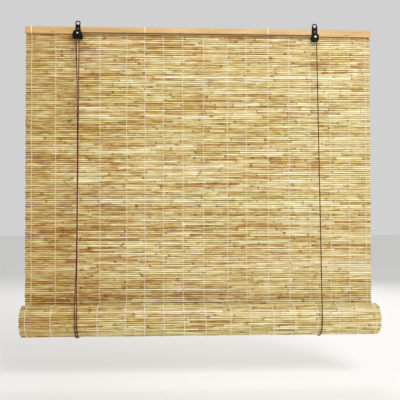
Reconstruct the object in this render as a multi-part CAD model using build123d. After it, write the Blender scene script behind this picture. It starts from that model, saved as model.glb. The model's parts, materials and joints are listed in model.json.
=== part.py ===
from build123d import *
import math
import os

os.makedirs("parts", exist_ok=True)

# A bamboo roll up blind, in millimetres. X runs along the width, the front faces -Y and +Z is up.
# The origin is midway between the two hanging eyes, on the front face of the front slat.

# Overall sizes
blind_width = 1000.0
visible_drop = 788.2          # top of the batten down to the top of the roll
bracket_spacing = 684.0       # between the two hanging eyes
blind_shift = 7.8             # from the middle between the eyes to the blind's middle

# Batten: two slats with the mat clamped between them
slat_height = 20.0
slat_thickness = 6.0
slat_edge_round = 0.8
batten_drop = 9.5             # eye centres down to the batten's top edge

# Mat of reeds and binding threads
reed_diameter = 4.8
reed_bore = 2.6
reed_pitch = 5.6
top_reed_inset = 5.0          # batten's top edge down to the uppermost reed
thread_thickness = 1.1
thread_width = 2.6
thread_slack = 0.05           # between a reed and the thread round it
thread_margin = 18.0          # first thread in from the left edge
thread_margin_right = 15.0
# How far each thread strays to the right of even spacing
thread_strays = [0, 7.6, 11, 12.7, 29, 21, 13.4, 9, 8.5, 17, 11.6, 15, 15.7, 16.3, 16.8, 11.4, 0]
clamp_gap = 0.1               # between the threads and each slat

# Roll of gathered mat on its rod
turn_radius = 42.0            # roll's axis to the middle of the outer turn
rod_diameter = 22.0
rod_fit = 0.2                 # between the rod and the innermost turn
half_turns = 9                # half turns inside the first one

# Wraps and staples on the batten
wrap_thickness = 0.8
wrapped_threads = [0, 5, 11]  # threads that are taken up over the batten
staple_span = 12.0
staple_wire = 0.6
staple_wire_width = 1.2
staple_side_step = 8.0        # centre of a staple to the thread beside it
stapled_threads = [1, 4, 7, 10, 13, 15]
staple_reach = 1.3            # how deep the legs enter the back slat
staple_hole_gap = 0.05

# Pulley brackets
plate_thickness = 1.5
divider_thickness = 1.0
eye_hole_radius = 4.5
eye_ring_radius = 7.5
bracket_drop = 46.0           # eye centre down to the bracket's bottom edge
axle_drop = 33.0
axle_radius = 1.5
axle_clearance = 0.05
rivet_head_radius = 2.7
rivet_head_height = 1.3
tail_head_height = 0.8
screw_drop = 17.0
screw_radius = 1.5
screw_head_radius = 3.0
screw_head_height = 1.8
screw_length = 6.5            # under the head
screw_slot_width = 0.8
screw_slot_depth = 0.9
cheek_top_round = 2.0
spacer_drop = 42.6
spacer_radius = 1.8
sheave_width = 6.0
sheave_rim_radius = 6.3
sheave_side_gap = 0.5
groove_width = 4.6
groove_root_width = 3.8

# Outline of each bracket plate, as half widths
left_neck_half = 7.0
left_shoulder_half = 10.5
left_hem_half = 14.0
left_corner_round = 3.0
right_neck_half = 8.2
right_shoulder_half = 10.2
right_hem_half = 10.4
right_corner_round = 5.0
shoulder_drop = 23.5
shoulder_slope = 2.0
hem_drop = 38.0

# Cords
cord_diameter = 3.0
cord_turn_radius = 4.5        # axle to the middle of the cord on a sheave
running_gap = 0.3             # between a cord and what turns or moves beside it
knot_diameter = 6.0
joining_knot_diameter = 8.0
joining_knot_drop = 108.0
joining_knot_shift = 1.5      # left of the bracket's middle
joining_knot_forward = 9.5    # in front of the front sheave's middle
strand_clear = 5.0            # bracket's foot down to where a strand bends towards the knot
knot_overhang = 0.2           # between a knot and the cord's end
cord_end_drop = 16.0
cord_staple_drop = 22.0
cord_staple_wire = 1.0
cord_staple_reach = 4.0
left_sling_inset = 7.5        # left lift cord under the roll, right of the bracket's middle
pull_sling_inset = 1.5        # pull cord under the roll
right_sling_inset = -2.5      # right lift cord under the roll, left of its bracket's middle
left_anchor_inset = 7.0       # left cord's end on the back slat
right_anchor_inset = -5.0
coil_radius = 18.0
coil_thickness = 12.0
coil_drop = 40.0
coil_gap = 2.6                # back slat to the coil, where its tie passes
tie_thickness = 1.6

# Worked out from the sizes above
cord_radius = cord_diameter / 2
mat_thickness = reed_diameter + 2 * thread_thickness
slat_gap = mat_thickness + 2 * clamp_gap
mat_y = slat_thickness + slat_gap / 2
batten_back_y = 2 * slat_thickness + slat_gap
batten_bottom = -batten_drop - slat_height
batten_middle = -batten_drop - slat_height / 2
roll_radius = turn_radius + mat_thickness / 2
roll_axis_y = mat_y - turn_radius
roll_axis_z = -batten_drop - visible_drop - roll_radius
sling_radius = roll_radius + running_gap + cord_radius
reed_count = int((-batten_drop - top_reed_inset - roll_axis_z) / reed_pitch)
reed_heights = [roll_axis_z + (i + 0.5) * reed_pitch for i in range(reed_count)]
blind_left = blind_shift - blind_width / 2
blind_right = blind_left + blind_width
thread_spacing = (blind_width - thread_margin - thread_margin_right) / (len(thread_strays) - 1)
thread_places = [
    blind_left + thread_margin + i * thread_spacing + stray
    for i, stray in enumerate(thread_strays)
]
left_x = -bracket_spacing / 2
right_x = bracket_spacing / 2
rear_sheave_y = -plate_thickness - sheave_side_gap - sheave_width / 2
sheave_bay = sheave_width + 2 * sheave_side_gap
divider_y = -plate_thickness - sheave_bay
front_sheave_y = divider_y - divider_thickness - sheave_side_gap - sheave_width / 2
left_cheek_y = divider_y - divider_thickness - sheave_bay
right_cheek_y = divider_y
axle_z = -axle_drop
cord_top_z = axle_z + cord_turn_radius


def group(solids):
    return Compound(children=list(solids))


def save(node, shape):
    export_step(shape, f"parts/{node}.step")


def block(x0, x1, y0, y1, z0, z1):
    """A box between two corners."""
    size = Box(x1 - x0, y1 - y0, z1 - z0)
    return Pos((x0 + x1) / 2, (y0 + y1) / 2, (z0 + z1) / 2) * size


def pin(x, z, front_y, back_y, radius):
    """A round bar along Y."""
    bar = Cylinder(radius, back_y - front_y)
    return Pos(x, (front_y + back_y) / 2, z) * Rot(90, 0, 0) * bar


def tube(path, diameter=cord_diameter):
    """A round cord along a path of straight runs and tangent arcs."""
    start = Plane(origin=path @ 0, z_dir=path % 0)
    return sweep(start * Circle(diameter / 2), path=path)


def straight_cord(start, end, start_gap=0.0, end_gap=0.0):
    """A tight straight cord that stops a little short of each end point."""
    start = Vector(*start)
    end = Vector(*end)
    along = (end - start).normalized()
    return tube(Line(start + along * start_gap, end - along * end_gap))


def routed_cord(points, end_gap=0.0):
    """A cord through points, with each bend as wide as its two runs allow."""
    points = [Vector(*p) for p in points]
    points[-1] = points[-1] - (points[-1] - points[-2]).normalized() * end_gap
    radii = []
    for before, corner, after in zip(points, points[1:], points[2:]):
        turn = math.radians((corner - before).get_angle(after - corner))
        shorter = min((corner - before).length, (after - corner).length)
        radii.append(0.45 * shorter / math.tan(turn / 2))
    print("bend radii", [round(r) for r in radii])
    return tube(FilletPolyline(*points, radius=radii))


def roll_tangent(y, z, side):
    """Angle round the roll where a cord from (y, z) meets the sling's circle: side 1 back, -1 front."""
    reach = math.hypot(y - roll_axis_y, z - roll_axis_z)
    bearing = math.atan2(z - roll_axis_z, y - roll_axis_y)
    return bearing - side * math.acos(sling_radius / reach)


def on_sling(x, angle):
    y = roll_axis_y + sling_radius * math.cos(angle)
    z = roll_axis_z + sling_radius * math.sin(angle)
    return (x, y, z)


# ---------------------------------------------------------------- batten

def slat(front_y):
    """A flat wooden slat with softened long edges."""
    bar = block(blind_left, blind_right, front_y, front_y + slat_thickness, batten_bottom, -batten_drop)
    return fillet(bar.edges().filter_by(Axis.X), slat_edge_round)


# The staples pass between two reeds
staple_z = max(z - reed_pitch / 2 for z in reed_heights if z + reed_pitch / 2 < batten_middle)
staple_places = [thread_places[i] - staple_side_step for i in stapled_threads]


def staple_legs(x, grown=0.0):
    """The two legs of a batten staple, or their holes."""
    half_wide = staple_wire_width / 2 + grown
    z0 = staple_z - staple_wire / 2 - grown
    z1 = staple_z + staple_wire / 2 + grown
    back_y = slat_thickness + slat_gap + staple_reach + grown
    legs = []
    for side in (-1, 1):
        leg_x = x + side * (staple_span - staple_wire_width) / 2
        legs.append(block(leg_x - half_wide, leg_x + half_wide, 0, back_y, z0, z1))
    return legs


def batten_staple(x):
    z0 = staple_z - staple_wire / 2
    z1 = staple_z + staple_wire / 2
    crown = block(x - staple_span / 2, x + staple_span / 2, -staple_wire, 0, z0, z1)
    first, second = staple_legs(x)
    return crown + first + second


staple_holes = [leg for x in staple_places for leg in staple_legs(x, staple_hole_gap)]
screw_holes = [
    pin(x, -screw_drop, 0, screw_length - plate_thickness + staple_hole_gap, screw_radius + staple_hole_gap)
    for x in (left_x, right_x)
]


def batten_wrap(x):
    """A binding thread taken over the batten, from the foot of one slat to the foot of the other."""
    x0 = x - thread_width / 2
    x1 = x + thread_width / 2
    top = -batten_drop + wrap_thickness
    outer = block(x0, x1, -wrap_thickness, batten_back_y + wrap_thickness, batten_bottom, top)
    return outer - block(x0, x1, 0, batten_back_y, batten_bottom, -batten_drop)


# ---------------------------------------------------------------- mat

def reed(z):
    """One hollow reed along the blind."""
    ring = Circle(reed_diameter / 2) - Circle(reed_bore / 2)
    start = Plane(origin=(blind_left, mat_y, z), z_dir=(1, 0, 0))
    return extrude(start * ring, blind_width)


def binding_thread(x):
    """A thread that runs down the front and the back of every reed, closed over the top one."""
    x0 = x - thread_width / 2
    x1 = x + thread_width / 2
    half = mat_thickness / 2
    top = reed_heights[-1] + reed_diameter / 2 + thread_slack
    bottom = roll_axis_z + running_gap
    outer = block(x0, x1, mat_y - half, mat_y + half, bottom, top + thread_thickness)
    window = reed_diameter / 2 + thread_slack
    return outer - block(x0, x1, mat_y - window, mat_y + window, bottom, top)


def rolled_mat():
    """The gathered mat as one spiral of half turns, from the back of the roll, under it and inwards."""
    step = (turn_radius - rod_diameter / 2 - rod_fit - reed_diameter / 2) / half_turns
    half = reed_diameter / 2
    edges = []
    for offset in (half, -half):
        y = mat_y + offset
        for turn in range(half_turns + 1):
            side = 1 if turn % 2 == 0 else -1
            radius = turn_radius - turn * step + offset
            centre = y - side * radius
            far_y = centre - side * radius
            middle = (centre, roll_axis_z - side * radius)
            edges.append(ThreePointArc((y, roll_axis_z), middle, (far_y, roll_axis_z)))
            y = far_y
        if offset > 0:
            outer_end = y
    edges.append(Line((mat_y + half, roll_axis_z), (mat_y - half, roll_axis_z)))
    edges.append(Line((outer_end, roll_axis_z), (y, roll_axis_z)))
    start = Plane(origin=(blind_left, 0, 0), x_dir=(0, 1, 0), z_dir=(1, 0, 0))
    return extrude(start * make_face(edges), blind_width)


def bottom_rod():
    """The wooden rod that the mat is rolled on, centred in the innermost half turn."""
    step = (turn_radius - rod_diameter / 2 - rod_fit - reed_diameter / 2) / half_turns
    centre_y = roll_axis_y - (half_turns % 2) * step
    bar = Plane(origin=(blind_left, centre_y, roll_axis_z), z_dir=(1, 0, 0)) * Circle(rod_diameter / 2)
    return extrude(bar, blind_width)


# ---------------------------------------------------------------- pulley brackets

def plate_outline(neck_half, shoulder_half, hem_half, corner_round):
    """A bracket plate seen from the front: hanging eye, neck, shoulders and flared foot."""
    right_side = [
        (neck_half, 0),
        (neck_half, -shoulder_drop),
        (shoulder_half, -shoulder_drop - shoulder_slope),
        (hem_half, -hem_drop),
        (hem_half, -bracket_drop),
    ]
    left_side = [(-x, z) for x, z in reversed(right_side)]
    outline = make_face(Polyline(*right_side, *left_side, close=True))
    outline = fillet(outline.vertices().sort_by(Axis.Y)[:2], corner_round)
    return outline + Circle(eye_ring_radius)


def cheek_outline(outline):
    """The lower part of a plate, which covers the sheave."""
    cheek_top = -shoulder_drop - shoulder_slope
    below = Pos(0, cheek_top - bracket_drop / 2) * Rectangle(4 * bracket_drop, bracket_drop)
    cheek = outline & below
    top = cheek.vertices().sort_by(Axis.Y)[-2:]
    return fillet(top, cheek_top_round)


def plate(outline, x, back_y, thickness, screw=False):
    """A plate with its axle hole and spacer seat, its back face at back_y."""
    outline = outline - Pos(0, axle_z) * Circle(axle_radius + axle_clearance)
    if screw:
        outline = outline - Circle(eye_hole_radius)
        outline = outline - Pos(0, -screw_drop) * Circle(screw_radius + axle_clearance)
    face = Plane(origin=(x, back_y, 0), x_dir=(1, 0, 0), z_dir=(0, -1, 0)) * outline
    return extrude(face, thickness)


def bracket_screw(x):
    """A round-headed screw through the back plate into the front slat."""
    head_front = -plate_thickness - screw_head_height
    head = pin(x, -screw_drop, head_front, -plate_thickness, screw_head_radius)
    head = fillet(head.edges().sort_by(Axis.Y)[0], screw_head_height * 0.6)
    shank = pin(x, -screw_drop, -plate_thickness, screw_length - plate_thickness, screw_radius)
    half = screw_slot_width / 2
    reach = screw_head_radius * 0.6
    back = head_front + screw_slot_depth
    slot = block(x - reach, x + reach, head_front, back, -screw_drop - half, -screw_drop + half)
    cross = block(x - half, x + half, head_front, back, -screw_drop - reach, -screw_drop + reach)
    return head + shank - slot - cross


def axle_rivet(x, cheek_back_y):
    """The axle, closed by a domed head in front of the cheek and a flat head behind the back plate."""
    front = cheek_back_y - plate_thickness
    head = pin(x, axle_z, front - rivet_head_height, front, rivet_head_radius)
    head = fillet(head.edges().sort_by(Axis.Y)[0], rivet_head_height * 0.9)
    shank = pin(x, axle_z, front, 0, axle_radius)
    tail = pin(x, axle_z, 0, tail_head_height, rivet_head_radius)
    return head + shank + tail


def sheave(x, y):
    """A grooved wheel that turns on the axle."""
    half = sheave_width / 2
    root = cord_turn_radius - cord_radius - running_gap
    bore = axle_radius + axle_clearance
    profile = Polyline(
        (bore, -half),
        (sheave_rim_radius, -half),
        (sheave_rim_radius, -groove_width / 2),
        (root, -groove_root_width / 2),
        (root, groove_root_width / 2),
        (sheave_rim_radius, groove_width / 2),
        (sheave_rim_radius, half),
        (bore, half),
        close=True,
    )
    wheel = revolve(make_face(profile), Axis.Y)
    return Pos(x, y, axle_z) * wheel


# ---------------------------------------------------------------- cords

back_cord_y = batten_back_y + cord_radius + knot_overhang


def lift_cord(sling_x, anchor_x, top_x, top_y):
    """Back leg, sling under the roll and front leg of one lift cord."""
    anchor = (anchor_x, back_cord_y, -cord_end_drop)
    top = (top_x, top_y, axle_z)
    back_angle = roll_tangent(anchor[1], anchor[2], 1)
    front_angle = roll_tangent(top_y, axle_z, -1) - 2 * math.pi
    back_leg = straight_cord(anchor, on_sling(sling_x, back_angle), 0, running_gap)
    front_leg = straight_cord(top, on_sling(sling_x, front_angle), running_gap, running_gap)
    return back_leg, sling(sling_x, back_angle, front_angle), front_leg


def sling(x, back_angle, front_angle):
    """A cord round the underside of the roll."""
    middle = on_sling(x, (back_angle + front_angle) / 2)
    return tube(ThreePointArc(on_sling(x, back_angle), middle, on_sling(x, front_angle)))


def over_sheave(x, y):
    """A cord over the top of a sheave, from its right side to its left."""
    right = (x + cord_turn_radius, y, axle_z)
    left = (x - cord_turn_radius, y, axle_z)
    return tube(ThreePointArc(right, (x, y, cord_top_z), left))


knot_centre = Vector(left_x - joining_knot_shift, front_sheave_y - joining_knot_forward, -joining_knot_drop)


def short_of_knot(start, aside=0.0):
    """Where a cord from start ends, a hair outside the joining knot and aside of its middle along Y."""
    aim = knot_centre + Vector(0, aside, 0)
    away = (Vector(*start) - aim).normalized()
    inside = (aim - knot_centre).dot(away)
    return aim + away * (joining_knot_diameter / 2 + knot_overhang - inside)


def transfer_cord():
    """Right lift cord over its sheave, along the batten and over the left rear sheave."""
    y = rear_sheave_y
    right_start = (right_x + cord_turn_radius, y, axle_z)
    bend = cord_turn_radius * math.sqrt(0.5)
    right_turn = ThreePointArc(right_start, (right_x + bend, y, axle_z + bend), (right_x, y, cord_top_z))
    across = Line((right_x, y, cord_top_z), (left_x, y, cord_top_z))
    left_end = (left_x - cord_turn_radius, y, axle_z)
    left_turn = ThreePointArc((left_x, y, cord_top_z), (left_x - bend, y, axle_z + bend), left_end)
    return tube(Wire([right_turn, across, left_turn]))


def pull_strand(y, aside):
    """A cord from a left sheave straight down past the plates, then over to its side of the joining knot."""
    x = left_x - cord_turn_radius
    bend = (x, y, -bracket_drop - strand_clear)
    return routed_cord([(x, y, axle_z - knot_overhang), bend, tuple(short_of_knot(bend, aside))])


def beside_left_cord(z, step_x, step_y):
    """A point at height z, stepped off from the left lift cord's front leg."""
    top = Vector(left_x + cord_turn_radius, front_sheave_y, axle_z)
    angle = roll_tangent(front_sheave_y, axle_z, -1)
    foot = Vector(*on_sling(left_x + left_sling_inset, angle))
    share = (top.Z - z) / (top.Z - foot.Z)
    point = top + (foot - top) * share
    return (point.X + step_x, point.Y + step_y, z)


# Pull cord from the joining knot, down in front of the left lift cord to the roll
pull_route = [
    beside_left_cord(-160, -3.5, -3.2),
    beside_left_cord((axle_z + roll_axis_z) / 2 + 30, -1.0, -3.4),
    beside_left_cord(roll_axis_z + 160, -0.6, -3.9),
    beside_left_cord(roll_axis_z + 60, -5.2, -4.2),
]
pull_front_angle = roll_tangent(pull_route[-1][1], pull_route[-1][2], -1) - 2 * math.pi


def pull_cord_front():
    """Pull cord from the joining knot to the front of the roll."""
    start = short_of_knot(pull_route[0])
    end = on_sling(left_x + pull_sling_inset, pull_front_angle)
    return routed_cord([tuple(start)] + pull_route + [end], running_gap)


def coil():
    """The put-away end of the pull cord, as the outer shape of its coil."""
    ring = Torus(coil_radius, coil_thickness / 2)
    return Pos(*coil_centre) * Rot(90, 0, 0) * ring


coil_centre = (
    left_x + pull_sling_inset - coil_radius,
    batten_back_y + coil_gap + coil_thickness / 2,
    -coil_drop,
)
coil_meet = coil_radius + coil_thickness / 2 + cord_radius
coil_entry = (
    left_x + pull_sling_inset,
    coil_centre[1],
    coil_centre[2] - math.sqrt(coil_meet**2 - coil_radius**2),
)
pull_back_angle = roll_tangent(coil_entry[1], coil_entry[2], 1)


def coil_tie():
    """A tie round the top of the coil."""
    gap = coil_gap - tie_thickness
    ring = Torus(coil_thickness / 2 + gap / 2 + tie_thickness / 2, tie_thickness / 2)
    return Pos(coil_centre[0], coil_centre[1], coil_centre[2] + coil_radius) * Rot(0, 90, 0) * ring


def wire_staple(x, z, crown_y, width):
    """A staple on the back slat, its crown across a cord or tie and its legs in the wood."""
    wire = cord_staple_wire
    z0 = z - wire / 2
    z1 = z + wire / 2
    crown = block(x - width / 2, x + width / 2, crown_y, crown_y + wire, z0, z1)
    left = block(x - width / 2, x - width / 2 + wire, batten_back_y - cord_staple_reach, crown_y, z0, z1)
    right = block(x + width / 2 - wire, x + width / 2, batten_back_y - cord_staple_reach, crown_y, z0, z1)
    return crown + left + right


def build():
    cord_staple_width = cord_diameter + 2 * (cord_staple_wire + 2 * running_gap)
    left_anchor_x = left_x + left_anchor_inset
    right_anchor_x = right_x + right_anchor_inset
    cord_crown_y = back_cord_y + cord_radius + knot_overhang
    back_staples = [
        wire_staple(left_anchor_x, -cord_staple_drop, cord_crown_y, cord_staple_width),
        wire_staple(right_anchor_x, -cord_staple_drop, cord_crown_y, cord_staple_width),
    ]

    front = slat(0)
    back = slat(slat_thickness + slat_gap)
    for hole in staple_holes:
        front = front - hole
        back = back - hole
    for hole in screw_holes:
        front = front - hole
    for staple in back_staples:
        back = back - staple
    save("front_slat", front)
    save("back_slat", back)
    save("batten_staples", group(batten_staple(x) for x in staple_places))
    save("batten_wrap_threads", group(batten_wrap(thread_places[i]) for i in wrapped_threads))

    save("hanging_reeds", group(reed(z) for z in reed_heights))
    save("hanging_threads", group(binding_thread(x) for x in thread_places))
    save("rolled_mat", rolled_mat())
    save("bottom_rod", bottom_rod())

    left_outline = plate_outline(left_neck_half, left_shoulder_half, left_hem_half, left_corner_round)
    right_outline = plate_outline(right_neck_half, right_shoulder_half, right_hem_half, right_corner_round)
    left_cheek = cheek_outline(left_outline)
    right_cheek = cheek_outline(right_outline)
    save("left_back_plate", plate(left_outline, left_x, 0, plate_thickness, screw=True))
    save("left_divider_plate", plate(left_cheek, left_x, divider_y, divider_thickness))
    save("left_front_plate", plate(left_cheek, left_x, left_cheek_y, plate_thickness))
    save("right_back_plate", plate(right_outline, right_x, 0, plate_thickness, screw=True))
    save("right_front_plate", plate(right_cheek, right_x, right_cheek_y, plate_thickness))
    spacer_back = -plate_thickness
    save("left_spacers", group([
        pin(left_x, -spacer_drop, divider_y, spacer_back, spacer_radius),
        pin(left_x, -spacer_drop, left_cheek_y, divider_y - divider_thickness, spacer_radius),
    ]))
    save("right_spacer", pin(right_x, -spacer_drop, right_cheek_y, spacer_back, spacer_radius))
    save("left_bracket_screw", bracket_screw(left_x))
    save("right_bracket_screw", bracket_screw(right_x))
    save("left_axle_rivet", axle_rivet(left_x, left_cheek_y))
    save("right_axle_rivet", axle_rivet(right_x, right_cheek_y))
    save("left_rear_sheave", sheave(left_x, rear_sheave_y))
    save("left_front_sheave", sheave(left_x, front_sheave_y))
    save("right_sheave", sheave(right_x, rear_sheave_y))

    left_back_leg, left_sling, left_front_leg = lift_cord(
        left_x + left_sling_inset, left_anchor_x, left_x + cord_turn_radius, front_sheave_y)
    right_back_leg, right_sling, right_front_leg = lift_cord(
        right_x + right_sling_inset, right_anchor_x, right_x + cord_turn_radius, rear_sheave_y)
    save("left_cord_back_leg", left_back_leg)
    save("left_cord_sling", left_sling)
    save("left_cord_front_leg", left_front_leg)
    save("left_cord_over_sheave", over_sheave(left_x, front_sheave_y))
    save("right_cord_back_leg", right_back_leg)
    save("right_cord_sling", right_sling)
    save("right_cord_front_leg", right_front_leg)
    save("right_cord_transfer", transfer_cord())

    beside = (cord_diameter + running_gap) / 2
    save("pull_strands", group(
        pull_strand(y, aside) for y, aside in ((rear_sheave_y, beside), (front_sheave_y, -beside))))
    save("joining_knot", Pos(*knot_centre) * Sphere(joining_knot_diameter / 2))
    save("pull_cord_front", pull_cord_front())
    pull_x = left_x + pull_sling_inset
    save("pull_cord_sling", sling(pull_x, pull_back_angle, pull_front_angle))
    save("pull_cord_back", straight_cord(
        coil_entry, on_sling(pull_x, pull_back_angle), running_gap, running_gap))
    save("pull_cord_coil", coil())
    save("coil_tie", coil_tie())

    knot_radius = knot_diameter / 2
    knot_z = -cord_end_drop + knot_overhang + knot_radius
    save("cord_end_knots", group(
        Pos(x, batten_back_y + knot_overhang + knot_radius, knot_z) * Sphere(knot_radius)
        for x in (left_anchor_x, right_anchor_x)))
    save("cord_staples", group(back_staples))


build()
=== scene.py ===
import json
import math
import random

import bmesh
import bpy
from mathutils import Matrix, Vector


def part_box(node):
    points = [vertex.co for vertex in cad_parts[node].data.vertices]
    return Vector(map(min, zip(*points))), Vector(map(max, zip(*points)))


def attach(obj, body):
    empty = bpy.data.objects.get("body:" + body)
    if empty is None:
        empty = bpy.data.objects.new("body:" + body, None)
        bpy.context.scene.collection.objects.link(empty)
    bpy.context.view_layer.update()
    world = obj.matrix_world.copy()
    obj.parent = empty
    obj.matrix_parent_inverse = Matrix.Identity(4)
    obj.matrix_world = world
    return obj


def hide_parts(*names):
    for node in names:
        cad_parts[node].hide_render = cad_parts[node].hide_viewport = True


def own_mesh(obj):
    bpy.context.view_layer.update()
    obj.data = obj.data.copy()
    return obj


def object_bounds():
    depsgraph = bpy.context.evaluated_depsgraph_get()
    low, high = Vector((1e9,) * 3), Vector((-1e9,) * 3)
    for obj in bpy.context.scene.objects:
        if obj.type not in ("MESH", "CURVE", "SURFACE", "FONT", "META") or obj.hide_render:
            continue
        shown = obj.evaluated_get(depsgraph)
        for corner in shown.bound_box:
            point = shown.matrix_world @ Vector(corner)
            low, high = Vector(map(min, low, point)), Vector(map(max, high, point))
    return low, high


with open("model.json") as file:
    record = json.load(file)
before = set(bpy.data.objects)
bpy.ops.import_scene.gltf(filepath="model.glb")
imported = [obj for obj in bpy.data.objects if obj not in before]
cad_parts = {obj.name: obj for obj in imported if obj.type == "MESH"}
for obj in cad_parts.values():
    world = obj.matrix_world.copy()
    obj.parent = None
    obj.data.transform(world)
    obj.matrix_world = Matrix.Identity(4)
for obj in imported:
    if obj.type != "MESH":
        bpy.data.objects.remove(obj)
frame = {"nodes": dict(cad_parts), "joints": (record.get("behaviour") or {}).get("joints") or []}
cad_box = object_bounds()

# A bamboo roll up blind. Metres, +X along the width, the front faces -Y, +Z is up.

# ---------------------------------------------------------------- places from the frame

joints = {joint["name"]: joint for joint in frame["joints"]}
hang_low, hang_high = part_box("hanging_reeds")
roll_axis = Vector(joints["roll_turn"]["pos_m"])
lift_travel = joints["roll_lift"]["range_m"][1]

reed_radius = (hang_high.y - hang_low.y) / 2
reed_pitch = 0.0056
half_width = (hang_high.x - hang_low.x) / 2
mat_middle_x = (hang_low.x + hang_high.x) / 2
mat_y = (hang_low.y + hang_high.y) / 2
reed_count = round((hang_high.z - hang_low.z - 2 * reed_radius) / reed_pitch) + 1
turn_radius = mat_y - roll_axis.y
rod_low, rod_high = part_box("bottom_rod")
rod_radius = (rod_high.z - rod_low.z) / 2
half_turns = 9
rod_fit = 0.0002
layer_step = (turn_radius - rod_radius - rod_fit - reed_radius) / half_turns
raised_axis_z = roll_axis.z + lift_travel


def thread_places():
    """The middle of each binding thread, from the CAD loops."""
    edges = sorted({round(v.co.x, 5) for v in frame["nodes"]["hanging_threads"].data.vertices})
    return [(a + b) / 2 for a, b in zip(edges[::2], edges[1::2])]


def mat_point(s, out):
    """(y, z) of a point s along the mat from the roll's back, and out from the mat's middle layer.
    Below zero s climbs the hanging mat; above zero it follows the spiral of the roll."""
    if s < 0:
        return mat_y + out, roll_axis.z - s
    radius = turn_radius
    side = 1
    while s > math.pi * radius:
        s -= math.pi * radius
        radius -= layer_step
        side = -side
    centre_y = roll_axis.y if side > 0 else roll_axis.y - layer_step
    angle = s / radius
    reach = radius + out
    return centre_y + side * reach * math.cos(angle), roll_axis.z - side * reach * math.sin(angle)


# ---------------------------------------------------------------- node helpers

def tint(red, green, blue):
    """A colour given in everyday 0 to 255 numbers, as the linear numbers that the shaders take."""
    shares = [value / 255 for value in (red, green, blue)]
    return tuple(c / 12.92 if c < 0.04045 else ((c + 0.055) / 1.055) ** 2.4 for c in shares)


def new_material(name):
    material = bpy.data.materials.new(name)
    material.use_nodes = True
    tree = material.node_tree
    shader = tree.nodes["Principled BSDF"]
    return material, tree, shader


def add(tree, kind, **values):
    """A node with properties by name and inputs by their names with spaces as underscores."""
    node = tree.nodes.new(kind)
    for key, value in values.items():
        if hasattr(node, key):
            setattr(node, key, value)
        else:
            node.inputs[key.replace("_", " ")].default_value = value
    return node


def link(tree, out, into):
    tree.links.new(out, into)


def ramp(tree, factor, stops):
    """A colour ramp over (position, colour) stops."""
    node = tree.nodes.new("ShaderNodeValToRGB")
    elements = node.color_ramp.elements
    while len(elements) < len(stops):
        elements.new(0.5)
    for element, (position, colour) in zip(elements, stops):
        element.position = position
        element.color = (*colour, 1)
    link(tree, factor, node.inputs["Fac"])
    return node.outputs["Color"]


def calc(tree, operation, a, b, clamp=False):
    """A math node over sockets or numbers."""
    node = tree.nodes.new("ShaderNodeMath")
    node.operation = operation
    node.use_clamp = clamp
    for socket, value in zip(node.inputs, (a, b)):
        if isinstance(value, (int, float)):
            socket.default_value = value
        else:
            link(tree, value, socket)
    return node.outputs["Value"]


def mix(tree, factor, a, b, blend="MIX"):
    """A colour mix over sockets, numbers or colours."""
    node = tree.nodes.new("ShaderNodeMix")
    node.data_type = "RGBA"
    node.blend_type = blend
    for socket, value in ((node.inputs["Factor"], factor), (node.inputs[6], a), (node.inputs[7], b)):
        if isinstance(value, (int, float)):
            socket.default_value = value
        elif isinstance(value, tuple):
            socket.default_value = (*value, 1)
        else:
            link(tree, value, socket)
    return node.outputs[2]


def group_tree(name, inputs, outputs):
    """An empty shader node group with float or colour sockets."""
    tree = bpy.data.node_groups.new(name, "ShaderNodeTree")
    for socket, kind, default in inputs:
        made = tree.interface.new_socket(socket, in_out="INPUT", socket_type="NodeSocket" + kind)
        if default is not None:
            made.default_value = default
    for socket, kind in outputs:
        tree.interface.new_socket(socket, in_out="OUTPUT", socket_type="NodeSocket" + kind)
    return tree, tree.nodes.new("NodeGroupInput"), tree.nodes.new("NodeGroupOutput")


def placed_group(tree, group, **values):
    node = tree.nodes.new("ShaderNodeGroup")
    node.node_tree = group
    for key, value in values.items():
        node.inputs[key.replace("_", " ")].default_value = value
    return node


# ---------------------------------------------------------------- shared effects

def make_fibre_group():
    """Long fine streaks along X, as split wood and cane show: a streak mask and a bump height."""
    tree, ins, outs = group_tree(
        "fibre_streaks",
        [("Along", "Float", 9.0), ("Across", "Float", 900.0), ("Contrast", "Float", 1.0)],
        [("Streak", "Float"), ("Height", "Float")],
    )
    place = tree.nodes.new("ShaderNodeTexCoord")
    scale = tree.nodes.new("ShaderNodeCombineXYZ")
    link(tree, ins.outputs["Along"], scale.inputs["X"])
    link(tree, ins.outputs["Across"], scale.inputs["Y"])
    link(tree, ins.outputs["Across"], scale.inputs["Z"])
    stretched = add(tree, "ShaderNodeVectorMath", operation="MULTIPLY")
    link(tree, place.outputs["Object"], stretched.inputs[0])
    link(tree, scale.outputs["Vector"], stretched.inputs[1])
    fine = add(tree, "ShaderNodeTexNoise", Scale=1.0, Detail=3.0, Roughness=0.6)
    link(tree, stretched.outputs["Vector"], fine.inputs["Vector"])
    centred = calc(tree, "SUBTRACT", fine.outputs["Fac"], 0.5)
    strong = calc(tree, "MULTIPLY", centred, ins.outputs["Contrast"])
    streak = calc(tree, "ADD", strong, 0.5, clamp=True)
    link(tree, streak, outs.inputs["Streak"])
    link(tree, fine.outputs["Fac"], outs.inputs["Height"])
    return tree


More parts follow.
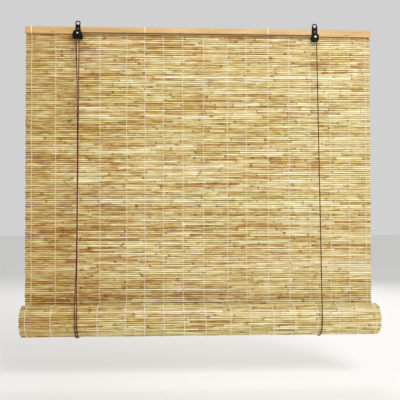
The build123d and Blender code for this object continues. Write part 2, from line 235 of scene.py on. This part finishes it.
def make_fuzz_group():
    """Cotton fuzz for threads and cords: a soft mottle and a fine height."""
    tree, ins, outs = group_tree(
        "fibre_fuzz",
        [("Scale", "Float", 1500.0)],
        [("Mottle", "Float"), ("Height", "Float")],
    )
    place = tree.nodes.new("ShaderNodeTexCoord")
    broad = add(tree, "ShaderNodeTexNoise", Scale=120.0, Detail=2.0)
    fine = add(tree, "ShaderNodeTexNoise", Detail=2.0)
    link(tree, ins.outputs["Scale"], fine.inputs["Scale"])
    for noise in (broad, fine):
        link(tree, place.outputs["Object"], noise.inputs["Vector"])
    both = calc(tree, "ADD", broad.outputs["Fac"], fine.outputs["Fac"])
    link(tree, calc(tree, "MULTIPLY", both, 0.5), outs.inputs["Mottle"])
    link(tree, fine.outputs["Fac"], outs.inputs["Height"])
    return tree


fibre_group = make_fibre_group()
fuzz_group = make_fuzz_group()


# ---------------------------------------------------------------- materials

def cane_material():
    """Natural reed: cream to olive to orange brown, tone by attribute, dark joints, and painted shade in the
    creases between reeds and inside the hollow ends.
    """
    material, tree, shader = new_material("natural_cane")
    facts = add(tree, "ShaderNodeAttribute", attribute_name="cane")
    parts = tree.nodes.new("ShaderNodeSeparateColor")
    link(tree, facts.outputs["Color"], parts.inputs["Color"])
    cloud = placed_group(tree, fibre_group, Along=34.0, Across=230.0, Contrast=1.5)
    fibre = placed_group(tree, fibre_group, Along=11.0, Across=1500.0, Contrast=0.7)
    broad_change = calc(tree, "SUBTRACT", cloud.outputs["Streak"], 0.5)
    fine_change = calc(tree, "SUBTRACT", fibre.outputs["Streak"], 0.5)
    wander = calc(tree, "ADD", broad_change, fine_change)
    shifted = calc(tree, "ADD", parts.outputs["Red"], wander, True)
    skin = ramp(tree, shifted, [
        (0.00, tint(158, 108, 55)),
        (0.22, tint(190, 143, 82)),
        (0.40, tint(207, 173, 110)),
        (0.58, tint(223, 201, 143)),
        (0.78, tint(236, 221, 170)),
        (1.00, tint(248, 239, 207)),
    ])
    olive = mix(tree, parts.outputs["Blue"], skin, (0.78, 0.92, 0.60), "MULTIPLY")
    # The green channel holds the joints' stains plus painted shade in the creases and hollows; both darken
    # towards this brown.
    stained_and_shaded = mix(tree, parts.outputs["Green"], olive, tint(106, 58, 16))
    link(tree, stained_and_shaded, shader.inputs["Base Color"])
    shader.inputs["Specular IOR Level"].default_value = 0.14
    rough = calc(tree, "ADD", calc(tree, "MULTIPLY", fibre.outputs["Streak"], 0.25), 0.42)
    link(tree, rough, shader.inputs["Roughness"])
    bump = add(tree, "ShaderNodeBump", Strength=0.25, Distance=0.0002)
    link(tree, fibre.outputs["Height"], bump.inputs["Height"])
    link(tree, bump.outputs["Normal"], shader.inputs["Normal"])
    return material


def wood_material(name, stops):
    """Planed bamboo and soft wood with straight grain and a few darker patches."""
    material, tree, shader = new_material(name)
    grain = placed_group(tree, fibre_group, Along=5.0, Across=260.0, Contrast=1.1)
    place = tree.nodes.new("ShaderNodeTexCoord")
    mapping = add(tree, "ShaderNodeMapping")
    mapping.inputs["Scale"].default_value = (6.0, 40.0, 40.0)
    link(tree, place.outputs["Object"], mapping.inputs["Vector"])
    patches = add(tree, "ShaderNodeTexNoise", Scale=1.0, Detail=3.0)
    link(tree, mapping.outputs["Vector"], patches.inputs["Vector"])
    grain_share = calc(tree, "MULTIPLY", grain.outputs["Streak"], 0.45)
    patch_share = calc(tree, "MULTIPLY", patches.outputs["Fac"], 0.55)
    tone = calc(tree, "ADD", grain_share, patch_share, True)
    link(tree, ramp(tree, tone, stops), shader.inputs["Base Color"])
    shader.inputs["Roughness"].default_value = 0.55
    bump = add(tree, "ShaderNodeBump", Strength=0.3, Distance=0.0003)
    link(tree, grain.outputs["Height"], bump.inputs["Height"])
    link(tree, bump.outputs["Normal"], shader.inputs["Normal"])
    return material


def yarn_material(name, dark, light, roughness, fuzz_scale=1500.0):
    """Twisted yarn or cord, mottled between two colours."""
    material, tree, shader = new_material(name)
    fuzz = placed_group(tree, fuzz_group, Scale=fuzz_scale)
    colour = ramp(tree, fuzz.outputs["Mottle"], [(0.3, dark), (0.7, light)])
    link(tree, colour, shader.inputs["Base Color"])
    shader.inputs["Roughness"].default_value = roughness
    shader.inputs["Specular IOR Level"].default_value = 0.15
    bump = add(tree, "ShaderNodeBump", Strength=0.4, Distance=0.0002)
    link(tree, fuzz.outputs["Height"], bump.inputs["Height"])
    link(tree, bump.outputs["Normal"], shader.inputs["Normal"])
    return material


def metal_material(name, dark, light, metallic, roughness, gloss=0.5):
    """Enamelled or plated metal with a slightly uneven surface."""
    material, tree, shader = new_material(name)
    place = tree.nodes.new("ShaderNodeTexCoord")
    noise = add(tree, "ShaderNodeTexNoise", Scale=220.0, Detail=4.0)
    link(tree, place.outputs["Object"], noise.inputs["Vector"])
    colour = ramp(tree, noise.outputs["Fac"], [(0.35, dark), (0.65, light)])
    link(tree, colour, shader.inputs["Base Color"])
    shader.inputs["Metallic"].default_value = metallic
    rough = calc(tree, "ADD", calc(tree, "MULTIPLY", noise.outputs["Fac"], 0.2), roughness)
    link(tree, rough, shader.inputs["Roughness"])
    shader.inputs["Specular IOR Level"].default_value = gloss
    bump = add(tree, "ShaderNodeBump", Strength=0.15, Distance=0.0003)
    link(tree, noise.outputs["Fac"], bump.inputs["Height"])
    link(tree, bump.outputs["Normal"], shader.inputs["Normal"])
    return material


cane = cane_material()
batten_wood = wood_material("batten_wood", [
    (0.30, tint(166, 121, 64)),
    (0.45, tint(195, 156, 98)),
    (0.60, tint(209, 175, 116)),
    (0.75, tint(218, 187, 131)),
])
rod_wood = wood_material("rod_wood", [(0.3, tint(180, 142, 92)), (0.7, tint(214, 182, 134))])
cotton = yarn_material("binding_cotton", tint(222, 208, 176), tint(248, 241, 222), 0.9)
rope = yarn_material("brown_rope", tint(66, 28, 17), tint(124, 61, 40), 0.85, 2500.0)
enamel = metal_material("black_enamel", tint(4, 4, 5), tint(10, 10, 11), 0.0, 0.45, 0.12)
plated = metal_material("plated_steel", tint(200, 198, 194), tint(230, 228, 225), 1.0, 0.25)
staple_steel = metal_material("staple_steel", tint(70, 60, 50), tint(120, 110, 98), 0.9, 0.45)
nylon = metal_material("dark_nylon", tint(24, 22, 20), tint(44, 41, 38), 0.0, 0.4)

node_finish = {
    "front_slat": batten_wood,
    "back_slat": batten_wood,
    "bottom_rod": rod_wood,
    "batten_staples": staple_steel,
    "cord_staples": staple_steel,
    "left_spacers": plated,
    "right_spacer": plated,
    "left_bracket_screw": staple_steel,
    "right_bracket_screw": staple_steel,
    "left_axle_rivet": plated,
    "right_axle_rivet": plated,
    "left_rear_sheave": nylon,
    "left_front_sheave": nylon,
    "right_sheave": nylon,
    "left_back_plate": enamel,
    "left_divider_plate": enamel,
    "left_front_plate": enamel,
    "right_back_plate": enamel,
    "right_front_plate": enamel,
    "batten_wrap_threads": cotton,
}
for node_name, finish in node_finish.items():
    part = frame["nodes"][node_name]
    part.data.materials.clear()
    part.data.materials.append(finish)


def add_piece(name, mesh, material, body, replaced=()):
    """A finished piece in the scene, riding on a body."""
    mesh.materials.clear()
    mesh.materials.append(material)
    mesh.shade_smooth()
    piece = bpy.data.objects.new(name, mesh)
    bpy.context.scene.collection.objects.link(piece)
    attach(piece, body)
    if replaced:
        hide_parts(*replaced)
    return piece


def squash_with_roll(piece):
    """Gives a hanging piece its own copy of its mesh."""
    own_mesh(piece)


# ---------------------------------------------------------------- reeds

rng = random.Random(41)
cane_sides = 10
hidden_cane_sides = 8
ragged_end = 0.0028
rim_width = 0.0008
rim_share = 0.94
hollow_share = 0.52
hollow_depth = 0.008
hollow_floor = (0.40, 0.2, 0.9)  # share of the girth, and the darkened tone and painted shade at the bottom of an end's hollow
tones = [0.49, 0.54, 0.57, 0.60, 0.64, 0.69]
darkest_tone = 0.2
tone_spread = 0.13  # of each length between joints, about its reed's own tone
patch_spread = 0.08  # half-way along such a length
shortest_span, longest_span = 0.045, 0.190
end_clearance = 0.02
scar_chance = 0.25
bow_along, bow_out = 0.00034, 0.00042
shaded_from, shaded_to = -0.095, -0.03  # the stretch of mat just above the roll
shaded_by = 0.02
# Painted shade where each reed turns towards its neighbours: how far round it starts, and how strong it
# grows.
crease_shade_start = 0.60
crease_shade_strength = 2.8
# Painted shade towards the mat's left and painted light towards its right.
left_painted_shade, right_painted_light = 0.15, 0.07
slimmest, thickest = 1.05, 1.50  # reeds, as multiples of the CAD's reed radius
lie_uneven = 0.0003
upper_band, lower_band, roll_band = 13, 21, 17  # reeds to a piece


def cane_stations(radius, plain=False):
    """Rings along one reed: (x, radius, tone, stain and shade), with swollen joints, dry sheaths and hollow
    ends; the joints' marks are real stains, the darkening inside the hollows is painted shade.
    """
    left = -half_width + rng.uniform(0, ragged_end)
    right = half_width - rng.uniform(0, ragged_end)
    base = rng.choice(tones) + rng.uniform(-0.04, 0.04)
    taper = rng.uniform(-0.06, 0.06)
    tone = base

    def girth(x):
        return radius * (1 + taper * x / half_width)

    floor_share, floor_shaded_tone, floor_shade = hollow_floor
    # The first two rings line the left end's hollow, darkened with painted shade towards its bottom.
    rings = [
        (left + hollow_depth, girth(left) * floor_share, floor_shaded_tone, floor_shade),
        (left, girth(left) * hollow_share, tone, 0.35),
        (left, girth(left) * rim_share, tone, 0.15),
        (left + rim_width, girth(left), tone, 0.05),
    ]
    x = left
    while not plain:
        span = rng.uniform(shortest_span, longest_span)
        if x + span > right - end_clearance:
            break
        x += span
        swell = rng.uniform(0.00015, 0.00045)
        stain_and_shade = rng.uniform(0.2, 0.9)
        after = min(1.0, max(darkest_tone, base + rng.gauss(0, tone_spread)))
        sheath = rng.uniform(0.003, 0.009)
        scar = rng.uniform(0.25, 0.65) if rng.random() < scar_chance else 0.0
        middle_radius = girth(x) * rng.uniform(0.97, 1.02)
        middle_tone = tone + rng.gauss(0, patch_spread)
        rings += [
            (x - span / 2, middle_radius, middle_tone, 0.0),
            (x - 0.0040, girth(x), tone, 0.0),
            (x - 0.0012, girth(x) + swell, tone, stain_and_shade * 0.4),
            (x, girth(x) * 0.985, (tone + after) / 2, stain_and_shade),
            (x + 0.0014, girth(x) + swell * 0.6, after, max(stain_and_shade * 0.3, scar)),
            (x + sheath, girth(x), after, scar),
            (x + sheath + 0.0010, girth(x), after, 0.0),
        ]
        tone = after
    # The last two rings line the right end's hollow, darkened with painted shade towards its bottom.
    rings += [
        (right - rim_width, girth(right), tone, 0.05),
        (right, girth(right) * rim_share, tone, 0.15),
        (right, girth(right) * hollow_share, tone, 0.35),
        (right - hollow_depth, girth(right) * floor_share, floor_shaded_tone, floor_shade),
    ]
    return rings


def bow_line():
    """How a crooked reed strays from straight: smooth steps between random offsets along its length."""
    step = rng.uniform(0.05, 0.09)
    count = int(2 * half_width / step) + 3
    offsets = [(rng.gauss(0, bow_along), rng.gauss(0, bow_out)) for _ in range(count)]

    def stray(x):
        place = (x + half_width) / step
        index = int(place)
        share = place - index
        share = share * share * (3 - 2 * share)
        (a, b), (c, d) = offsets[index], offsets[index + 1]
        return a + (c - a) * share, b + (d - b) * share

    return stray


def painted_side_light(x):
    """How much darker the reeds' tone is painted at x: painted shade more to the left, painted light a
    little to the right.
    """
    darker = left_painted_shade * min(1.0, max(0.0, (-x - 0.12) / 0.25))
    paler = right_painted_light * min(1.0, max(0.0, (x - 0.1) / 0.3))
    return darker - paler


def grow_cane(bm, s, out, rings, sides, strip, strips):
    """One reed at s along the mat: a grid wrapped round its rings, with its own strip of the UV map."""
    uv_layer = bm.loops.layers.uv["OFBake"]
    facts = bm.verts.layers.float_color["cane"]
    made = bmesh.ops.create_grid(bm, x_segments=len(rings) - 1, y_segments=sides, size=1)["verts"]
    greenish = max(0.0, rng.gauss(0.1, 0.25))
    stray = bow_line()
    # How strong the painted crease shade is at each ring.
    crease_shade_factors = [rng.uniform(0.3, 1.6) for _ in rings]
    above_roll = shaded_by if shaded_from < s < shaded_to else 0.0
    spot = {}
    for vert in made:
        column = round((vert.co.x + 1) / 2 * (len(rings) - 1))
        row = round((vert.co.y + 1) / 2 * sides)
        spot[vert] = (column, row)
        x, radius, tone, stain_and_shade = rings[column]
        angle = 2 * math.pi * row / sides
        bow, lift = stray(x)
        y, z = mat_point(s + bow + radius * math.cos(angle), out + lift + radius * math.sin(angle))
        vert.co = (mat_middle_x + x, y, z)
        # Painted shade in the creases between this reed and its neighbours, added into the stain channel.
        crease_shade = max(0.0, abs(math.cos(angle)) - crease_shade_start) * crease_shade_strength * crease_shade_factors[column]
        # The tone carries the painted side light and the shade above the roll; the stain channel carries the
        # painted crease shade.
        vert[facts] = (max(0.0, tone - painted_side_light(x) - above_roll), min(1.0, stain_and_shade + crease_shade), greenish, 1)
    faces = {face for vert in made for face in vert.link_faces}
    for face in faces:
        for loop in face.loops:
            column, row = spot[loop.vert]
            u = (rings[column][0] + half_width) / (2 * half_width)
            loop[uv_layer].uv = (u, (strip + 0.05 + 0.9 * row / sides) / strips)
    bmesh.ops.remove_doubles(bm, verts=made, dist=1e-7)


def cane_band(name, reeds, body, sides, plain=False, replaced=()):
    """A band of neighbouring reeds as one piece, each given by its place along the mat and its radius."""
    bm = bmesh.new()
    bm.loops.layers.uv.new("OFBake")
    bm.verts.layers.float_color.new("cane")
    for strip, (s, radius) in enumerate(reeds):
        rings = cane_stations(radius, plain)
        out = rng.uniform(-lie_uneven, lie_uneven)
        grow_cane(bm, s, out, rings, sides, strip, len(reeds))
    bmesh.ops.recalc_face_normals(bm, faces=bm.faces)
    mesh = bpy.data.meshes.new(name)
    bm.to_mesh(mesh)
    bm.free()
    return add_piece(name, mesh, cane, body, replaced)


def in_bands(items, size):
    """The items in runs of the given size."""
    return [items[i:i + size] for i in range(0, len(items), size)]


def lay_out(start, count):
    """(place, radius) of reeds of uneven girth that fill count pitches along the mat."""
    radii = [reed_radius * rng.uniform(slimmest, thickest) for _ in range(count)]
    share = count * reed_pitch / sum(2 * radius for radius in radii)
    laid = []
    edge = start
    for radius in radii:
        laid.append((edge + radius * share, radius))
        edge += 2 * radius * share
    return laid


hanging = lay_out(-reed_count * reed_pitch, reed_count)
fixed_canes = [reed for reed in hanging if roll_axis.z - reed[0] > raised_axis_z]
sinking_canes = [reed for reed in hanging if reed not in fixed_canes]
for number, reeds in enumerate(in_bands(fixed_canes, upper_band), 1):
    cane_band(f"upper_reeds_{number}", reeds, "headrail", cane_sides, replaced=["hanging_reeds"])
for number, reeds in enumerate(in_bands(sinking_canes, lower_band), 1):
    band = cane_band(f"lower_reeds_{number}", reeds, "headrail", cane_sides, replaced=["hanging_reeds"])
    squash_with_roll(band)


def spiral_length():
    """The length of mat that the whole spiral of the roll takes up."""
    return sum(math.pi * (turn_radius - k * layer_step) for k in range(half_turns + 1))


rolled = lay_out(0.0, int(spiral_length() / reed_pitch))
outer_turn = math.pi * (2 * turn_radius - layer_step) + 3 * reed_pitch
seen_canes = [reed for reed in rolled if reed[0] < outer_turn]
hidden_canes = [reed for reed in rolled if reed[0] >= outer_turn]
for number, reeds in enumerate(in_bands(seen_canes, roll_band), 1):
    cane_band(f"roll_reeds_{number}", reeds, "roll", cane_sides, replaced=["rolled_mat"])
cane_band("inner_reeds", hidden_canes, "roll", hidden_cane_sides, plain=True, replaced=["rolled_mat"])


# ---------------------------------------------------------------- binding threads

strand_radius = 0.00075
strand_side = 0.0009
strand_steps = 6
wave_flatness = 0.12
drift_size = 0.0008
drift_rate = 0.21
thread_band = 9  # threads to a piece below the raised roll

weave = hanging + rolled


def weave_at(q):
    """Place along the mat and half its thickness at rank q.
    Whole numbers are reeds, and 0 is the roll's first."""
    low = min(max(math.floor(q + reed_count), 0), len(weave) - 2)
    share = q + reed_count - low
    (place, radius), (next_place, next_radius) = weave[low], weave[low + 1]
    return place + (next_place - place) * share, radius + (next_radius - radius) * share


def strand(x0, first, last, side):
    """One of a thread's two strands, between two reeds' ranks, over and under in turn."""
    points = []
    wander = rng.uniform(0, 6.3)
    for k in range(strand_steps * (last - first) + 1):
        q = first + k / strand_steps
        wave = math.cos(math.pi * q)
        place, radius = weave_at(q)
        reach = side * (radius + strand_radius)
        out = reach * wave / math.sqrt(wave * wave + wave_flatness) * math.sqrt(1 + wave_flatness)
        drift = drift_size * math.sin(q * drift_rate + wander)
        x = x0 + drift + side * strand_side * math.sin(math.pi * q)
        y, z = mat_point(place, out)
        points.append((x, y, z))
    return points


def strands_mesh(name, paths, radius):
    """Round strands along polylines, as one mesh."""
    line = bpy.data.curves.new(name, "CURVE")
    line.dimensions = "3D"
    line.bevel_depth = radius
    line.bevel_resolution = 1
    line.use_fill_caps = True
    for path in paths:
        spline = line.splines.new("POLY")
        spline.points.add(len(path) - 1)
        spline.points.foreach_set("co", [value for point in path for value in (*point, 1)])
    holder = bpy.data.objects.new(name, line)
    mesh = bpy.data.meshes.new_from_object(holder)
    bpy.data.objects.remove(holder)
    bpy.data.curves.remove(line)
    mesh.name = name
    return mesh


def thread_piece(name, xs, first, last, body, replaced):
    """The threads at xs between two ranks. The random state is put back, so every call draws the same."""
    state = rng.getstate()
    paths = [strand(x, first, last, side) for x in xs for side in (1, -1)]
    rng.setstate(state)
    mesh = strands_mesh(name, paths, strand_radius)
    return add_piece(name, mesh, cotton, body, replaced)


thread_xs = thread_places()
sinking_count = len(sinking_canes)
thread_piece("upper_threads", thread_xs, -reed_count, -sinking_count, "headrail", ["hanging_threads"])
for number, xs in enumerate(in_bands(thread_xs, thread_band), 1):
    name = f"lower_threads_{number}"
    piece = thread_piece(name, xs, -sinking_count, 0, "headrail", ["hanging_threads"])
    squash_with_roll(piece)
thread_piece("roll_threads", thread_xs, 0, len(seen_canes), "roll", ["rolled_mat"])


# ---------------------------------------------------------------- cords

cord_width = 0.003
plies = 3
# Sizes of a cord's twist, as multiples of its width
ply_step = 0.47
lay_length = 3.7
ply_offset = 0.24
ply_radius = 0.283
knot_steps = 20
# Sizes of an overhand knot, as multiples of its own size
knot_depth = 1.1
knot_cord_share = 2.7


def nurbs_line(name, route):
    """A smooth open spline with the route's points as its control points."""
    line = bpy.data.curves.new(name, "CURVE")
    line.dimensions = "3D"
    line.resolution_u = 12
    spline = line.splines.new("NURBS")
    spline.points.add(len(route) - 1)
    for point, place in zip(spline.points, route):
        point.co = (*place, 1)
    spline.order_u = 3
    spline.use_endpoint_u = True
    return line


def read_line(line):
    """The points that a spline with no bevel passes, as vectors."""
    holder = bpy.data.objects.new("line", line)
    mesh = bpy.data.meshes.new_from_object(holder)
    points = [v.co.copy() for v in mesh.vertices]
    bpy.data.objects.remove(holder)
    bpy.data.meshes.remove(mesh)
    bpy.data.curves.remove(line)
    return points


def even_points(points, step):
    """The same line with its points a step apart."""
    kept = [points[0]]
    want = step
    walked = 0.0
    for a, b in zip(points, points[1:]):
        length = (b - a).length
        while length > 0 and walked + length >= want:
            kept.append(a.lerp(b, (want - walked) / length))
            want += step
        walked += length
    if (kept[-1] - points[-1]).length > step / 3:
        kept.append(points[-1])
    return kept


def laid_strands(points, width):
    """The twisted plies of a laid cord round its middle line."""
    points = even_points(points, width * ply_step)
    paths = [[] for _ in range(plies)]
    side = (points[1] - points[0]).orthogonal().normalized()
    walked = 0.0
    for i, point in enumerate(points):
        after = points[min(i + 1, len(points) - 1)]
        before = points[max(i - 1, 0)]
        ahead = (after - before).normalized()
        side = (side - ahead * side.dot(ahead)).normalized()
        other = ahead.cross(side)
        turn = 2 * math.pi * walked / (width * lay_length)
        for ply, path in enumerate(paths):
            angle = turn + 2 * math.pi * ply / plies
            aside = side * math.cos(angle) + other * math.sin(angle)
            path.append(point + aside * width * ply_offset)
        walked += (after - point).length
    return paths


def rope_piece(name, routes, body, slot, replaced, width=cord_width):
    """Laid cord along its routes, as one piece. Returns the piece and the last route's middle line."""
    material = {"brown_cord": rope, "binding_thread": cotton}[slot]
    paths = []
    for route in routes:
        middle = read_line(nurbs_line(name, route))
        paths += laid_strands(middle, width)
    mesh = strands_mesh(name, paths, width * ply_radius)
    return add_piece(name, mesh, material, body, replaced), middle


def moving_leg(name, route, node):
    """A run of cord from the headrail to the roll, with its own copy of its mesh."""
    piece, middle = rope_piece(name, [route], "headrail", "brown_cord", [node])
    squash_with_roll(piece)
    return piece, middle


def knot_piece(name, centres, size, replaced):
    """Tight overhand knots, each a trefoil whose line runs a little past its start."""
    angles = [2 * math.pi * k / knot_steps for k in range(knot_steps + 2)]
    routes = [[
        (
            x + size * (math.sin(t) + 2 * math.sin(2 * t)),
            y - size * knot_depth * math.sin(3 * t),
            z + size * (math.cos(t) - 2 * math.cos(2 * t)),
        )
        for t in angles
    ] for x, y, z in centres]
    return rope_piece(name, routes, "headrail", "brown_cord", replaced, size * knot_cord_share)[0]


# Lift cords: legs behind and in front of the mat, slings under the roll
moving_leg("left_back_rope", [
    (-0.3350, 0.0209, -0.0160), (-0.3350, 0.0208, -0.0340),
    (-0.3345, 0.0150, -0.8255), (-0.3345, 0.0149, -0.8435),
], "left_cord_back_leg")
moving_leg("left_front_rope", [
    (-0.3375, -0.0130, -0.0330), (-0.3374, -0.0145, -0.0510),
    (-0.3346, -0.0780, -0.8213), (-0.3345, -0.0795, -0.8393),
], "left_cord_front_leg")
moving_leg("right_back_rope", [
    (0.3370, 0.0209, -0.0160), (0.3371, 0.0208, -0.0340),
    (0.3394, 0.0150, -0.8255), (0.3395, 0.0149, -0.8435),
], "right_cord_back_leg")
moving_leg("right_front_rope", [
    (0.3465, -0.0050, -0.0330), (0.3463, -0.0067, -0.0510),
    (0.3397, -0.0778, -0.8208), (0.3395, -0.0795, -0.8388),
], "right_cord_front_leg")
for side, x in (("left", -0.3345), ("right", 0.3395)):
    rope_piece(f"{side}_sling_rope", [[
        (x, 0.0149, -0.8435), (x, 0.0149, -0.8705), (x, -0.0324, -0.8978),
        (x, -0.0797, -0.8705), (x, -0.0795, -0.8390),
    ]], "cord_slings", "brown_cord", [f"{side}_cord_sling"])
rope_piece("left_turn_rope", [[
    (-0.3375, -0.0130, -0.0330), (-0.3375, -0.0130, -0.0304), (-0.3420, -0.0130, -0.0278),
    (-0.3465, -0.0130, -0.0304), (-0.3465, -0.0130, -0.0330),
]], "headrail", "brown_cord", ["left_cord_over_sheave"])
rope_piece("transfer_rope", [[
    (0.3465, -0.0050, -0.0330), (0.3465, -0.0050, -0.0311),
    (0.3439, -0.0050, -0.0285), (0.3240, -0.0050, -0.0285),
    (-0.3240, -0.0050, -0.0285), (-0.3439, -0.0050, -0.0285),
    (-0.3465, -0.0050, -0.0311), (-0.3465, -0.0050, -0.0330),
]], "headrail", "brown_cord", ["right_cord_transfer"])
end_knots = [(-0.3350, 0.0226, -0.0122), (0.3370, 0.0226, -0.0122)]
knot_piece("lift_cord_knots", end_knots, 0.00080, ["cord_end_knots"])

# Pull cord: two strands to the joining knot, one cord down, under the roll and up the back to its coil
joining = knot_piece("joining_rope_knot", [(-0.3435, -0.0225, -0.1080)], 0.00098, ["joining_knot"])
rear_route = [(-0.3465, -0.0050, -0.0332), (-0.3465, -0.0050, -0.0510), (-0.3437, -0.0198, -0.1044)]
front_strand_route = [(-0.3465, -0.0130, -0.0332), (-0.3465, -0.0130, -0.0510), (-0.3437, -0.0233, -0.1036)]
for name, route, knots in (("rear_strand", rear_route, []), ("front_strand", front_strand_route, [joining])):
    piece, middle = rope_piece(name, [route], "headrail", "brown_cord", ["pull_strands"])

front_route = [
    (-0.3433, -0.0228, -0.1115), (-0.3405, -0.0267, -0.1600), (-0.3371, -0.0474, -0.4081),
    (-0.3357, -0.0706, -0.6832), (-0.3399, -0.0791, -0.7832), (-0.3405, -0.0797, -0.8427),
]
piece, middle = moving_leg("pull_front_rope", front_route, "pull_cord_front")

under_route = [
    (-0.3405, -0.0797, -0.8427), (-0.3405, -0.0797, -0.8705), (-0.3405, -0.0324, -0.8978),
    (-0.3405, 0.0149, -0.8705), (-0.3405, 0.0149, -0.8440),
]
piece, middle = rope_piece(
    "pull_sling_rope", [under_route], "cord_slings", "brown_cord", ["pull_cord_sling"])

back_route = [
    (-0.3405, 0.0149, -0.8440), (-0.3405, 0.0152, -0.8260),
    (-0.3405, 0.0275, -0.0761), (-0.3405, 0.0278, -0.0581),
]
piece, middle = moving_leg("pull_back_rope", back_route, "pull_cord_back")

# The spare pull cord, coiled and tied behind the left bracket
coil_x, coil_y, coil_z = -0.3585, 0.0278, -0.0400
coil_radius = 0.0196
coil_bundle = 0.0034  # from the middle of the bundle to each turn's middle line
coil_points = 44
tie_height = -0.0220
tie_radius = 0.0078
tie_step = 0.785  # radians between the tie's points, close to an eighth of a turn
tie_pitch = 0.0006
tie_width = 0.0016


def coil_route():
    """The cord from the top of its back leg: turns that lie beside each other, then a short tail."""
    x, y, z = coil_x, coil_y, coil_z
    points = [back_route[-1], (x + 0.0185, y, z - 0.0100)]
    for k in range(coil_points):
        angle = math.radians(45 * k + 22.5)
        place = math.radians(7.5 * k)
        turn = coil_radius + coil_bundle * math.cos(place) + rng.uniform(-0.0002, 0.0002)
        sideways = coil_bundle * math.sin(place)
        points.append((x + turn * math.cos(angle), y + sideways, z + turn * math.sin(angle)))
    points += [(x - 0.0215, y - 0.0010, z - 0.0140), (x - 0.0200, y + 0.0005, z - 0.0270)]
    return points


turns = coil_route()
coil_piece, middle = rope_piece(
    "spare_rope_coil", [turns], "headrail", "brown_cord", ["pull_cord_coil"])
tie_route = [(
    coil_x + tie_pitch * k,
    coil_y + tie_radius * math.cos(tie_step * k),
    tie_height + tie_radius * math.sin(tie_step * k),
) for k in range(-9, 10)]
tie_route += [(-0.3515, 0.0350, -0.0150), (-0.3490, 0.0356, -0.0125)]
tie, _ = rope_piece("spare_rope_tie", [tie_route], "headrail", "brown_cord", ["coil_tie"], tie_width)


# ---------------------------------------------------------------- stage, light and camera

floor_reach = 30  # from the middle of the floor to its edges
floor_drop = 0.12  # below the blind's lowest point


def make_floor():
    bm = bmesh.new()
    bmesh.ops.create_grid(bm, x_segments=1, y_segments=1, size=floor_reach)
    bmesh.ops.translate(bm, verts=bm.verts, vec=(0, 0, cad_box[0].z - floor_drop))
    mesh = bpy.data.meshes.new("floor")
    bm.to_mesh(mesh)
    bm.free()
    floor = bpy.data.objects.new("floor", mesh)
    bpy.context.scene.collection.objects.link(floor)
    material, _, shader = new_material("pale_floor")
    shader.inputs["Base Color"].default_value = (0.88, 0.875, 0.865, 1)
    shader.inputs["Roughness"].default_value = 0.7
    mesh.materials.append(material)


def soft_light(name, place, size, power):
    """An area light that faces the middle of the blind."""
    light = bpy.data.lights.new(name, "AREA")
    light.size = size
    light.energy = power
    lamp = bpy.data.objects.new(name, light)
    lamp.location = place
    lamp.rotation_euler = (blind_middle - Vector(place)).to_track_quat("-Z", "Y").to_euler()
    bpy.context.scene.collection.objects.link(lamp)


def make_camera():
    """The main view: from in front, a little left of the middle and level with the mat's lower half."""
    camera = bpy.data.cameras.new("camera")
    camera.sensor_width = 36.0
    camera.lens = 56.25
    camera.shift_x = 0.030
    camera.shift_y = 0.0375
    seen = bpy.data.objects.new("camera", camera)
    seen.location = (-0.1116, -1.7910, -0.5843)
    yaw, pitch, roll = math.radians(-2.68), math.radians(91.12), math.radians(-0.09)
    turn = Matrix.Rotation(yaw, 3, "Z") @ Matrix.Rotation(pitch, 3, "X") @ Matrix.Rotation(roll, 3, "Z")
    seen.rotation_euler = turn.to_euler()
    bpy.context.scene.collection.objects.link(seen)
    bpy.context.scene.camera = seen


make_floor()
make_camera()
blind_middle = Vector((0, 0, -0.45))
soft_light("key", (0.95, -2.3, 1.0), size=1.3, power=45)
soft_light("low_fill", (0.2, -2.4, -0.95), size=1.6, power=11)
soft_light("back", (0.5, 2.4, 0.9), size=1.8, power=30)
bpy.context.scene.view_settings.view_transform = "Standard"
world = bpy.data.worlds.new("studio")
world.use_nodes = True
background = world.node_tree.nodes["Background"]
background.inputs["Color"].default_value = (0.85, 0.85, 0.85, 1)
background.inputs["Strength"].default_value = 0.75
bpy.context.scene.world = world
